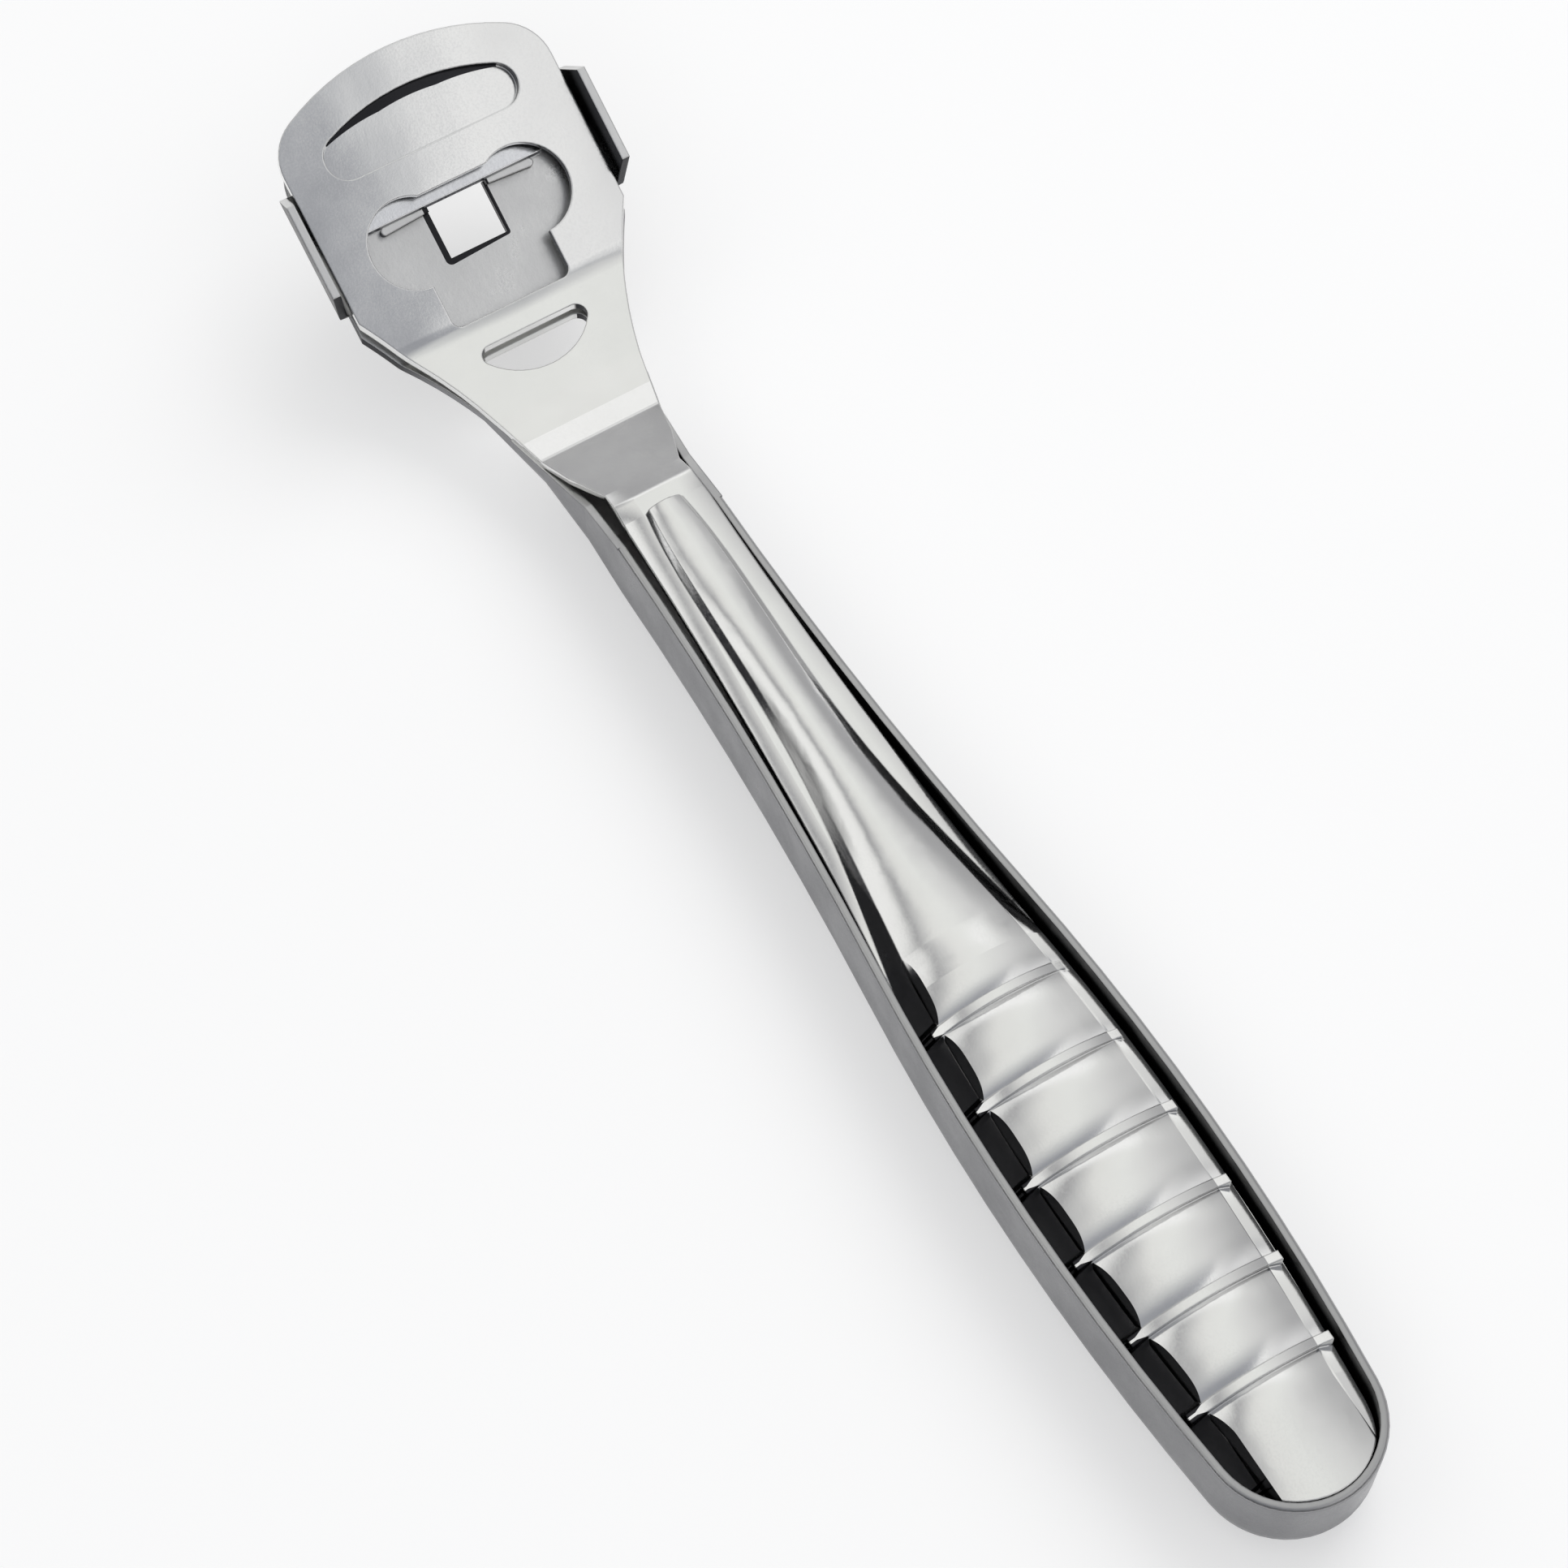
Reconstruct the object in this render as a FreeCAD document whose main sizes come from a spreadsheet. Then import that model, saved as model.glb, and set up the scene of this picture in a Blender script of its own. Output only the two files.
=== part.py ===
import FreeCAD, Part
import math
import os
import re
import Sketcher
from FreeCAD import Placement, Rotation, Vector

# Callus shaver: two stainless stampings and a blade.
# +X runs from the head to the tip of the handle, +Z is up, the shell rests on z = 0.

# Sizes in millimetres and degrees

SIZES = {
    "sheet": 0.8,
    "fit": 0.5,
    "tail_fit": 0.05,
    "tip_x": 80.5,
    "neck_x": -28,
    "neck_half": 5.6,
    "belly_x": 46,
    "belly_half": 9.55,
    "belly_radius": 245,
    "shell_depth": 10.3,
    "shell_corner": 3.5,
    "neck_rise": 1.0,
    "crease_x": -57,
    "crease_z": 9.5,
    "pitch": 29,
    "head_half": 14.4,
    "nose_s": 27.15,
    "nose_radius": 26,
    "nose_corner": 5,
    "bend_radius": 1.2,
    "crease_radius": 5,
    "rim_round": 0.4,
    "sole_drop": 2.0,
    "sole_short": 1.8,
    "shoulder_s": 4.75,
    "waist_x": -45,
    "waist_half": 7.3,
    "waist_radius": 45,
    "bend_x": -41,
    "seat_run": 6,
    "seat_z": 8.4,
    "ramp_pitch": 20,
    "ramp_mid_x": -37.2,
    "ramp_mid_half": 5.5,
    "ramp_end_x": -33,
    "ramp_end_half": 4.0,
    "ramp_top_x": -31,
    "flange_end_x": 24,
    "flange_end_z": 7.8,
    "pad_depth": 0.95,
    "pad_rear": 17.1,
    "pad_length": 6.1,
    "pad_radius": 23,
    "pad_corner": 2.25,
    "pad_rim": 0.6,
    "window_rear": 0.3,
    "window_front": 13.2,
    "window_side": 6.3,
    "window_corner": 0.9,
    "lobe_s": 9.35,
    "lobe_w": 6.0,
    "lobe_radius": 4.5,
    "slot_gap": 2.6,
    "slot_length": 4.5,
    "slot_radius": 6.6,
    "slot_corner": 1.1,
    "throat_rear": 12.0,
    "throat_gap": 1.5,
    "throat_half": 9.5,
    "notch_rear": 6.7,
    "notch_half": 3.05,
    "lip_half": 8.4,
    "lip_thick": 0.5,
    "lip_rise": 0.9,
    "ear_rear": 6.0,
    "ear_front": 18.5,
    "ear_inset": 0.5,
    "ear_bend": 0.85,
    "ear_lean": 0.45,
    "ear_height": 2.4,
    "ear_slope": 2.0,
    "blade_set": 0.3,
    "blade_width": 8,
    "blade_inset": 1.4,
    "blade_thick": 0.25,
    "crown_x": -29,
    "crown_half": 1.95,
    "crown_side": 0.35,
    "crown_lift": 0.6,
    "crown_rise": 1.0,
    "crown_mid_x": -10,
    "crown_mid_half": 2.8,
    "crown_mid_side": 0.6,
    "crown_mid_rise": 1.4,
    "crown_late_x": 8,
    "crown_late_half": 4.3,
    "crown_late_side": 0.9,
    "crown_late_rise": 1.9,
    "dome_side": 1.8,
    "dome_lift": 1.8,
    "dome_crest_z": 10.6,
    "dome_reach": 0.1,
    "tail_run": 12.5,
    "tail_half": 6.6,
    "tail_lift": 2.2,
    "tail_crest_z": 10.4,
    "dome_lead": 4,
    "rib_pitch": 8,
    "rib_width": 0.9,
    "rib_rise": 0.45,
    "rib_margin": 0.9,
    "rib_margin_fade": 0.02,
    "rib_end_z": 9.3,
}

RIBS = 6

doc = FreeCAD.newDocument("callus_shaver")
sheet = doc.addObject("Spreadsheet::Sheet", "Sizes")
for row, (name, value) in enumerate(SIZES.items(), 1):
    sheet.set(f"A{row}", name)
    sheet.set(f"B{row}", str(value))
    sheet.setAlias(f"B{row}", name)
doc.recompute()


# Formulas over the sizes

def formula(text):
    """Point every size named in the text at its cell."""
    def cell(match):
        word = match.group()
        return f"Sizes.{word}" if word in SIZES else word
    return re.sub(r"[a-z_]+", cell, str(text))


def number(text):
    return float(sheet.evalExpression(formula(text)))


def bind(item, prop, text):
    item.setExpression(prop, formula(text))


def minus(text):
    return f"-({text})"


# Sketches

def add_sketch(body, name, role, offset=(0, 0, 0), tilt=None, about=Vector(0, 1, 0)):
    """A sketch on an origin plane, moved by formulas and tilted about one of its own axes."""
    plane = [item for item in body.Origin.OriginFeatures if item.Role == role][0]
    sketch = body.newObject("Sketcher::SketchObject", name)
    sketch.AttachmentSupport = [(plane, "")]
    sketch.MapMode = "FlatFace"
    angle = number(tilt) if tilt else 0
    place = Vector(*[number(value) for value in offset])
    sketch.AttachmentOffset = Placement(place, Rotation(about, angle))
    for axis, value in zip("xyz", offset):
        if value != 0:
            bind(sketch, f"AttachmentOffset.Base.{axis}", value)
    if tilt:
        bind(sketch, "AttachmentOffset.Rotation.Angle", tilt)
    return sketch


def arc_between(start, end, radius, side):
    """The short arc from start to end with its centre to the left (1) or right (-1)."""
    chord = end - start
    height = math.sqrt(max(radius ** 2 - (chord.Length / 2) ** 2, 0))
    left = Vector(-chord.y, chord.x, 0).normalize()
    centre = (start + end) / 2 + left * (height * side)
    middle = centre + ((start + end) / 2 - centre).normalize() * radius
    if height < 1e-9:
        middle = centre - left * (radius * side)
    return Part.Arc(start, middle, end)


def draw(sketch, points, arcs=None):
    """Close an outline through the points; arcs gives (radius, side) for the edge after a point."""
    arcs = arcs or {}
    spots = [Vector(number(x), number(y), 0) for x, y in points]
    ends = []
    for index, start in enumerate(spots):
        end = spots[(index + 1) % len(spots)]
        if index in arcs:
            radius, side = arcs[index]
            edge = sketch.addGeometry(arc_between(start, end, number(radius), side), False)
            ends.append((edge, 1, 2) if side > 0 else (edge, 2, 1))
            tie(sketch, Sketcher.Constraint("Radius", edge, number(radius)), radius)
        else:
            edge = sketch.addGeometry(Part.LineSegment(start, end), False)
            ends.append((edge, 1, 2))
    for index, (x, y) in enumerate(points):
        edge, first, last = ends[index - 1]
        after, begin, finish = ends[index]
        sketch.addConstraint(Sketcher.Constraint("Coincident", edge, last, after, begin))
        tie(sketch, Sketcher.Constraint("DistanceX", -1, 1, after, begin, spots[index].x), x)
        tie(sketch, Sketcher.Constraint("DistanceY", -1, 1, after, begin, spots[index].y), y)
    return sketch


def tie(sketch, constraint, text):
    """Add a dimension and let the sheet drive it."""
    index = sketch.addConstraint(constraint)
    bind(sketch, f"Constraints[{index}]", text)


# Features

def add_pad(body, name, sketch, length, symmetric=False, reverse=False):
    pad = body.newObject("PartDesign::Pad", name)
    pad.Profile = sketch
    pad.Reversed = reverse
    if symmetric:
        pad.SideType = "Symmetric"
    bind(pad, "Length", length)
    doc.recompute()
    return pad


def add_pocket(body, name, sketch, depth=None, reverse=False, symmetric=False):
    before = body.Shape.Volume
    pocket = body.newObject("PartDesign::Pocket", name)
    pocket.Profile = sketch
    pocket.Reversed = reverse
    if depth is None:
        pocket.Type = "ThroughAll"
    else:
        bind(pocket, "Length", depth)
    if symmetric:
        pocket.SideType = "Symmetric"
    doc.recompute()
    if not pocket.Shape.Volume < before:
        raise ValueError(f"{name} removes nothing")
    return pocket


def add_loft(body, name, sketches, kind="Additive", ruled=False):
    loft = body.newObject(f"PartDesign::{kind}Loft", name)
    loft.Profile = sketches[0]
    loft.Sections = sketches[1:]
    loft.Ruled = ruled
    doc.recompute()
    return loft


def add_fillet(body, name, radius, wanted):
    """Round the edges of the present shape that the test picks."""
    base = body.Tip
    edges = [f"Edge{index}" for index, edge in enumerate(base.Shape.Edges, 1) if wanted(edge)]
    if not edges:
        raise ValueError(f"{name} finds no edge")
    fillet = body.newObject("PartDesign::Fillet", name)
    fillet.Base = (base, edges)
    bind(fillet, "Radius", radius)
    doc.recompute()
    return fillet


# Shared outlines

def handle_outline(inset, tip_inset, start_x="neck_x"):
    """Plan outline of the handle: hollow flare, long belly and round tip, all tangent."""
    span = "(belly_x - neck_x)"
    rise = "(belly_half - neck_half)"
    total = f"(({span}^2 + {rise}^2) / (2 * {rise}))"
    flare = f"({total} - belly_radius)"
    share = f"(({flare} + {inset}) / {total})"
    flare_y = f"(neck_half + {flare})"
    join_x = f"neck_x + {span} * {share}"
    join_y = f"{flare_y} + (belly_half - belly_radius - {flare_y}) * {share}"
    belly = f"(belly_radius - ({inset}))"
    half = f"(belly_half - ({inset}))"
    reach = f"(tip_x - ({tip_inset}) - belly_x)"
    tip = f"((2 * {belly} * {half} - {half}^2 - {reach}^2) / (2 * ({belly} - {reach})))"
    turn = f"({belly} / ({belly} - {tip}))"
    turn_x = f"belly_x + ({reach} - {tip}) * {turn}"
    turn_y = f"(belly_half - belly_radius) * (1 - {turn})"
    side = [(start_x, f"neck_half - ({inset})"), (join_x, join_y), (turn_x, turn_y)]
    if start_x != "neck_x":
        side.insert(1, ("neck_x", f"neck_half - ({inset})"))
    first = len(side) - 3
    points = [(x, minus(y)) for x, y in side] + list(reversed(side))
    arcs = {
        first: (f"{flare} + {inset}", -1),
        first + 1: (belly, 1),
        first + 2: (tip, 1),
        first + 3: (belly, 1),
        first + 4: (f"{flare} + {inset}", -1),
    }
    return points, arcs


def rounded_d(flat, apex, radius, corner, way):
    """A D outline: straight side at flat, wide arc to the apex on the axis, rounded corners."""
    centre = f"({apex} - {way} * ({radius}))"
    inner = f"({radius} - ({corner}))"
    offset = f"({flat} + {way} * ({corner}) - {centre})"
    corner_y = f"sqrt({inner}^2 - {offset}^2)"
    grow = f"(({radius}) / {inner})"
    half = [(flat, corner_y), (f"{centre} + {offset} * {grow}", f"{corner_y} * {grow}")]
    side = -way
    points = half + [(x, minus(y)) for x, y in reversed(half)]
    return points, {0: (corner, side), 1: (radius, side), 2: (corner, side)}


def bend_shift(first, second, amount):
    """Move from a bend on the upper face of a sheet to the same bend deeper in the stack."""
    size = f"({amount}) / cos(({first} - ({second})) / 2)"
    across = f"{size} * sin(({first} + ({second})) / 2)"
    down = f"{size} * cos(({first} + ({second})) / 2)"
    return across, down


def head_point(s, drop):
    """Side-view position of a point at s along the head and drop below its upper face."""
    x = f"crease_x - ({s}) * cos(pitch) - ({drop}) * sin(pitch)"
    z = f"crease_z + ({s}) * sin(pitch) - ({drop}) * cos(pitch)"
    return x, z


def head_sketch(body, name, drop):
    """A sketch parallel to the head plate; its x runs from the nose back to the crease."""
    across = f"crease_x - ({drop}) * sin(pitch)"
    up = f"crease_z - ({drop}) * cos(pitch)"
    return add_sketch(body, name, "XY_Plane", (across, 0, up), "pitch")


def trim_head(body, prefix, short="0"):
    """Cut the nose outline out of a wide strip."""
    nose = head_sketch(body, f"{prefix}_nose_outline", "-head_half")
    middle = f"(nose_s - nose_radius - {short})"
    inner = "(nose_radius - nose_corner)"
    corner_s = f"({middle} + sqrt({inner}^2 - (head_half - nose_corner)^2))"
    turn_s = f"{middle} + ({corner_s} - {middle}) * nose_radius / {inner}"
    turn_w = f"(head_half - nose_corner) * nose_radius / {inner}"
    side = [(minus(corner_s), "head_half"), (minus(turn_s), turn_w)]
    frame = [(minus("nose_s * 1.5"), "-head_half * 1.5"), (minus("nose_s * 1.5"), "head_half * 1.5")]
    points = side + [(x, minus(y)) for x, y in reversed(side)]
    points += [(minus(corner_s), "-head_half * 1.5")] + frame + [(minus(corner_s), "head_half * 1.5")]
    draw(nose, points, {0: ("nose_corner", 1), 1: ("nose_radius", 1), 2: ("nose_corner", 1)})
    add_pocket(body, f"{prefix}_nose", nose)


def trim_waist(body, prefix, inner_points):
    """Cut both sides away from the shoulders back to the last inner point."""
    sketch = add_sketch(body, f"{prefix}_waist_outline", "XY_Plane", (0, 0, "nose_s"))
    shoulder = "crease_x - shoulder_s * cos(pitch)"
    last_x = inner_points[-1][0]
    side = [(shoulder, "head_half * 1.5"), (shoulder, "head_half"), ("waist_x", "waist_half")]
    side += inner_points + [(last_x, "head_half * 1.5")]
    draw(sketch, side, {1: ("waist_radius", 1)})
    draw_more = [(x, minus(y)) for x, y in side]
    draw(sketch, draw_more, {1: ("waist_radius", -1)})
    add_pocket(body, f"{prefix}_waist", sketch)


def cut_finger_slot(body, prefix):
    sketch = add_sketch(body, f"{prefix}_slot_outline", "XY_Plane", (0, 0, "nose_s"))
    front = "(crease_x + slot_gap)"
    points, arcs = rounded_d(front, f"({front} + slot_length)", "slot_radius", "slot_corner", 1)
    draw(sketch, points, arcs)
    add_pocket(body, f"{prefix}_slot", sketch)


# Lower arm: channel, neck, sole and ears

def build_lower_arm():
    body = doc.addObject("PartDesign::Body", "lower_arm")
    outline = add_sketch(body, "shell_outline", "XY_Plane")
    draw(outline, *handle_outline("0", "0"))
    add_pad(body, "shell_block", outline, "shell_depth")
    neck = number("neck_x")
    rim = number("shell_depth")
    add_fillet(body, "shell_rim_round", "rim_round", lambda edge: lies_at(edge, rim, neck))
    hollow = add_sketch(body, "shell_hollow_outline", "XY_Plane", (0, 0, "shell_depth"))
    draw(hollow, *handle_outline("sheet", "sheet", "neck_x - sheet"))
    add_pocket(body, "shell_hollow", hollow, "shell_depth - sheet")
    floor = number("sheet")
    add_fillet(body, "shell_inner_round", "shell_corner - sheet", lambda edge: lies_at(edge, floor, neck))
    add_fillet(body, "shell_round", "shell_corner", lambda edge: lies_at(edge, 0, neck))
    neck_sections(body)
    sole_strip(body)
    trim_head(body, "sole", "sole_short")
    trim_waist(body, "sole", [("waist_x", "waist_half + 3")])
    cut_finger_slot(body, "sole")
    cut_throat(body)
    add_lips(body)
    add_ears(body)
    trim_ears(body)
    return body


def lies_at(edge, z, open_x):
    """True for a level edge at this height that does not run across the open end."""
    box = edge.BoundBox
    across = box.XLength < 1e-6 and abs(box.XMin - open_x) < 1e-6
    return box.ZLength < 1e-6 and abs(box.ZMin - z) < 1e-6 and not across


def channel_section(body, name, x, half, bottom, top, corner):
    sketch = add_sketch(body, name, "YZ_Plane", (0, 0, x))
    left = f"-({half})"
    low = f"{bottom} + ({corner})"
    points = [
        (left, top), (left, low), (f"{left} + ({corner})", bottom),
        (f"{half} - ({corner})", bottom), (half, low), (half, top),
    ]
    return draw(sketch, points, {1: (corner, 1), 3: (corner, 1)})


def neck_sections(body):
    """The channel flattens into the level plate of the neck."""
    flat = "(seat_z - sheet)"
    rows = [
        ("a", "neck_x", "neck_half", "0", "shell_depth", "shell_corner"),
        ("b", "neck_x - 6", "neck_half + 0.05", "neck_rise", "shell_depth - neck_rise", "shell_corner"),
        ("c", "bend_x + 0.5", "neck_half + 0.85", f"{flat} * 0.45", flat, "shell_corner * 0.8"),
        ("d", "bend_x - 9", "waist_half + 1.3", f"{flat} - sheet", flat, "sheet * 0.4"),
    ]
    outer = [channel_section(body, f"neck_outer_{n}", x, h, b, t, c) for n, x, h, b, t, c in rows]
    add_loft(body, "neck_solid", outer, "Additive", True)
    inner = []
    for n, x, h, b, t, c in rows:
        radius = f"{c} - sheet" if n in "abc" else "sheet * 0.2"
        inner.append(channel_section(body, f"neck_inner_{n}", x, f"{h} - sheet", f"{b} + sheet",
                                     "shell_depth + sheet", radius))
    add_loft(body, "neck_hollow", inner, "Subtractive", True)


def sole_strip(body):
    flat = "(seat_z - sheet)"
    side = add_sketch(body, "sole_side", "XZ_Plane")
    top_s = f"((({flat}) - crease_z + sole_drop * cos(pitch)) / sin(pitch))"
    top_x, top_z = head_point(top_s, "sole_drop")
    across, down = bend_shift("pitch", "0", "sheet")
    nose_x, nose_z = head_point("nose_s + sheet", "sole_drop")
    under_x, under_z = head_point("nose_s + sheet", "sole_drop + sheet")
    end_x = "waist_x - 2"
    points = [
        (nose_x, nose_z), (under_x, under_z), (f"{top_x} - {across}", f"{flat} - {down}"),
        (end_x, f"{flat} - sheet"), (end_x, flat), (top_x, flat),
    ]
    draw(side, points)
    add_pad(body, "sole_strip", side, "head_half * 2", symmetric=True)
    crease = number(top_x)
    add_fillet(body, "sole_bend", "bend_radius", lambda edge: is_bend(edge, crease - 2, crease + 2))


def is_bend(edge, first_x, last_x):
    """True for an edge across the whole strip between the two places."""
    if len(edge.Vertexes) != 2:
        return False
    start, end = [vertex.Point for vertex in edge.Vertexes]
    level = abs(start.x - end.x) < 1e-4 and abs(start.z - end.z) < 1e-4
    return level and abs(start.y - end.y) > number("head_half") and first_x < start.x < last_x


def cut_throat(body):
    """The slot under the cutting edge and the square notch behind it."""
    sketch = head_sketch(body, "throat_outline", "sole_drop")
    half = [("-notch_rear", "notch_half"), ("-throat_rear", "notch_half"),
            ("-throat_rear", "throat_half"), ("-(throat_rear + throat_gap)", "throat_half")]
    draw(sketch, half + [(x, minus(y)) for x, y in reversed(half)])
    add_pocket(body, "throat", sketch, "sheet * 2.5", symmetric=True)


def add_lips(body):
    """The rear edge of the throat is turned up on both sides of the notch."""
    sketch = head_sketch(body, "lip_outline", "sole_drop + sheet / 2")
    for way in (1, -1):
        near = f"{way} * (notch_half + 0.1)"
        far = f"{way} * (lip_half - lip_thick)"
        points = [("-throat_rear", near), ("-throat_rear", far),
                  ("-throat_rear + lip_thick * 1.6", far), ("-throat_rear + lip_thick", near)]
        draw(sketch, points, {1: ("lip_thick * 0.82", -way)})
    add_pad(body, "lips", sketch, "lip_rise + sheet / 2")


def trim_ears(body):
    """Slope both ends of each ear from its root to its rim."""
    sketch = add_sketch(body, "ear_ends", "XZ_Plane")
    for root, rim, far in (
        ("ear_front", "ear_front - ear_slope * 0.8", "ear_front + ear_slope * 3"),
        ("ear_rear", "ear_rear + ear_slope", "ear_rear - ear_slope * 3"),
    ):
        points = [head_point(root, "sole_drop * 0.9"), head_point(rim, "-ear_height - sheet"),
                  head_point(far, "-ear_height - sheet"), head_point(far, "sole_drop * 0.9")]
        draw(sketch, points)
    add_pocket(body, "ear_end_slopes", sketch, "head_half * 3", symmetric=True)


def add_ears(body):
    """Two flanges that curl up beside the cap plate from the edges of the sole."""
    across = "crease_x - ear_rear * cos(pitch)"
    up = "crease_z + ear_rear * sin(pitch)"
    sketch = add_sketch(body, "ear_profile", "YZ_Plane", (0, up, across), "pitch", Vector(1, 0, 0))
    low = "-(sole_drop + sheet)"
    bend = "(ear_bend + sheet)"
    inner = "(head_half - ear_inset + ear_bend)"
    for way in ("", "-"):
        side = 1 if way == "" else -1
        points = [
            (f"{way}(head_half - ear_inset - sheet)", low), (f"{way}(head_half - ear_inset)", low),
            (f"{way}({inner} + sheet)", f"{low} + {bend}"),
            (f"{way}({inner} + sheet + ear_lean)", "ear_height"),
            (f"{way}({inner} + ear_lean)", "ear_height"),
            (f"{way}{inner}", f"{low} + {bend}"), (f"{way}(head_half - ear_inset)", "-sole_drop"),
            (f"{way}(head_half - ear_inset - sheet)", "-sole_drop"),
        ]
        draw(sketch, points, {1: (bend, side), 5: ("ear_bend", -side)})
    add_pad(body, "ears", sketch, "ear_front - ear_rear", reverse=True)


# Upper arm: cap, neck, ramp and cover

def build_upper_arm():
    body = doc.addObject("PartDesign::Body", "upper_arm")
    add_strip(body)
    trim_head(body, "cap")
    trim_waist(body, "cap", [("ramp_mid_x", "ramp_mid_half"), ("ramp_end_x", "ramp_end_half"),
                             ("neck_x", "neck_half - sheet - fit")])
    press_pad(body)
    cut_window(body)
    cut_finger_slot(body, "cap")
    raise_crown(body)
    trim_cover(body)
    for index in range(RIBS):
        add_rib(body, index)
    return body


def add_strip(body):
    """One bent sheet from the nose over the crease, the neck and the ramp to the ribbed end."""
    side = add_sketch(body, "strip_side", "XZ_Plane")
    rise = "crease_z - seat_z"
    run = "(bend_x - seat_run - crease_x)"
    fall = f"(atan(({rise}) / {run}) / 1 deg)"
    ramp = "(-ramp_pitch)"
    ramp_top_z = "(seat_z + (ramp_top_x - bend_x) * tan(ramp_pitch))"
    slope = f"(atan(({ramp_top_z} - flange_end_z) / (flange_end_x - ramp_top_x)) / 1 deg)"
    bends = [
        ("crease_x", "crease_z", "pitch", fall),
        ("bend_x - seat_run", "seat_z", fall, "0"),
        ("bend_x", "seat_z", "0", ramp),
        ("ramp_top_x", ramp_top_z, ramp, slope),
    ]
    upper = [head_point("nose_s + sheet", "0")]
    under = [head_point("nose_s + sheet", "sheet")]
    for x, z, first, second in bends:
        across, down = bend_shift(first, second, "sheet")
        upper.append((x, z))
        under.append((f"{x} - {across}", f"{z} - {down}"))
    across, down = bend_shift(slope, "0", "sheet")
    upper += [("flange_end_x", "flange_end_z"), ("tip_x", "flange_end_z")]
    under += [(f"flange_end_x - {across}", f"flange_end_z - {down}"), ("tip_x", "flange_end_z - sheet")]
    draw(side, under + list(reversed(upper)))
    add_pad(body, "strip", side, "head_half * 2", symmetric=True)
    first_x = number("crease_x")
    middle_x = number("(crease_x + bend_x - seat_run) / 2")
    last_x = number("ramp_top_x + 2")
    add_fillet(body, "crease_round", "crease_radius", lambda edge: is_bend(edge, first_x - 2, middle_x))
    add_fillet(body, "strip_bends", "bend_radius", lambda edge: is_bend(edge, middle_x, last_x))


def press_pad(body):
    """The oval seat pressed down onto the blade."""
    way = -1
    boss = head_sketch(body, "pad_boss_outline", "sheet")
    points, arcs = rounded_d("-(pad_rear - pad_rim)", "-(pad_rear + pad_length + pad_rim)", "pad_radius + pad_rim",
                             "pad_corner + pad_rim", way)
    draw(boss, points, arcs)
    add_pad(body, "pad_boss", boss, "pad_depth", reverse=True)
    well = head_sketch(body, "pad_outline", "0")
    points, arcs = rounded_d("-pad_rear", "-(pad_rear + pad_length)", "pad_radius", "pad_corner", way)
    draw(well, points, arcs)
    add_pocket(body, "pad_well", well, "pad_depth")


def cut_window(body):
    """A straight opening behind two round lobes."""
    sketch = head_sketch(body, "window_outline", "0")
    side_s = "(lobe_s - sqrt(lobe_radius^2 - (window_side - lobe_w)^2))"
    front_w = "(lobe_w - sqrt(lobe_radius^2 - (window_front - lobe_s)^2))"
    half = [
        ("-window_rear", "window_side - window_corner"),
        ("-window_rear - window_corner", "window_side"), (minus(side_s), "window_side"),
        ("-lobe_s", "lobe_w + lobe_radius"), ("-window_front", front_w),
    ]
    points = half + [(x, minus(y)) for x, y in reversed(half)]
    arcs = {index: ("lobe_radius", 1) for index in (2, 3, 5, 6)}
    arcs[0] = ("window_corner", 1)
    arcs[8] = ("window_corner", 1)
    draw(sketch, points, arcs)
    add_pocket(body, "window", sketch, "sheet * 2", symmetric=True)


def flange_level(x):
    """Height of the flange at a place between the ramp and the first rib."""
    top = "(seat_z + (ramp_top_x - bend_x) * tan(ramp_pitch))"
    return f"({top} + (({x}) - ramp_top_x) / (flange_end_x - ramp_top_x) * (flange_end_z - {top}))"


def cover_half(x):
    """Half width of the cover along the belly of the handle."""
    return f"(belly_half - sheet - fit - (({x}) - belly_x)^2 / (2 * belly_radius))"


def crown_section(body, name, x, foot, foot_z, shoulder, shoulder_z, crest_z, under_z):
    """A raised section: sloped sides from the feet to the shoulders and an arc over the crest."""
    sketch = add_sketch(body, name, "YZ_Plane", (0, 0, x))
    rise = f"(({crest_z}) - ({shoulder_z}))"
    radius = f"((({shoulder})^2 + {rise}^2) / (2 * {rise}))"
    points = [
        (minus(foot), under_z), (foot, under_z), (foot, foot_z), (shoulder, shoulder_z),
        (minus(shoulder), shoulder_z), (minus(foot), foot_z),
    ]
    return draw(sketch, points, {3: (radius, 1)})


def crown_rows():
    """Place, foot, foot level, side width, shoulder rise and crest of every section."""
    rows = []
    for x, foot, side, lift, crest in (
        ("crown_x", "crown_half", "crown_side", "crown_lift", "crown_rise"),
        ("crown_mid_x", "crown_mid_half", "crown_mid_side", "crown_lift", "crown_mid_rise"),
        ("crown_late_x", "crown_late_half", "crown_late_side", "crown_lift * 1.2", "crown_late_rise"),
    ):
        rows.append((x, foot, flange_level(x), side, lift, f"{flange_level(x)} + {crest}"))
    start = f"({rib_place(0)} - dome_lead)"
    for share in ("0", "1 / 2", "1"):
        x = f"({start} + (tip_x - tail_run - {start}) * ({share}))"
        foot = f"{cover_half(x)} + dome_reach"
        rows.append((x, foot, "flange_end_z", "dome_side", "dome_lift", "dome_crest_z"))
    rows.append(("(tip_x + 0.5)", "tail_half", "flange_end_z", "dome_side", "tail_lift", "tail_crest_z"))
    return rows


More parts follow.
